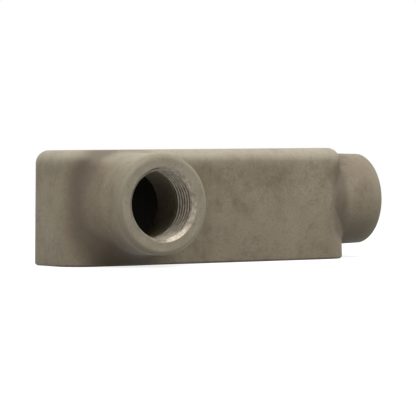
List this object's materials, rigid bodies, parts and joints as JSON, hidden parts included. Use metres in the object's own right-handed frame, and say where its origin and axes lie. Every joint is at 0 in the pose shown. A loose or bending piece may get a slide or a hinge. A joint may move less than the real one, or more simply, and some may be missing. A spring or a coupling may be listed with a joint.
{
  "type": "conduit body",
  "caption": "Cast side-outlet elbow conduit body: long hollow box with a rounded back, open on one face, with a tapped hub on its side and a tapped hub on its end.",
  "frame": {"origin": "centre of the open face, on its gasket plane, midway between the two cover-screw holes", "axes": "+X along the body towards the end hub, -Y along the side hub's axis out of its mouth, +Z from the open face to the rounded back"},
  "size_m": [0.139, 0.0622, 0.043],
  "materials": {
    "casting": "matte grey coat over a sand-cast skin"
  },
  "bodies": {
    "root": {"conduit_body": "casting"}
  },
  "joints": []
}
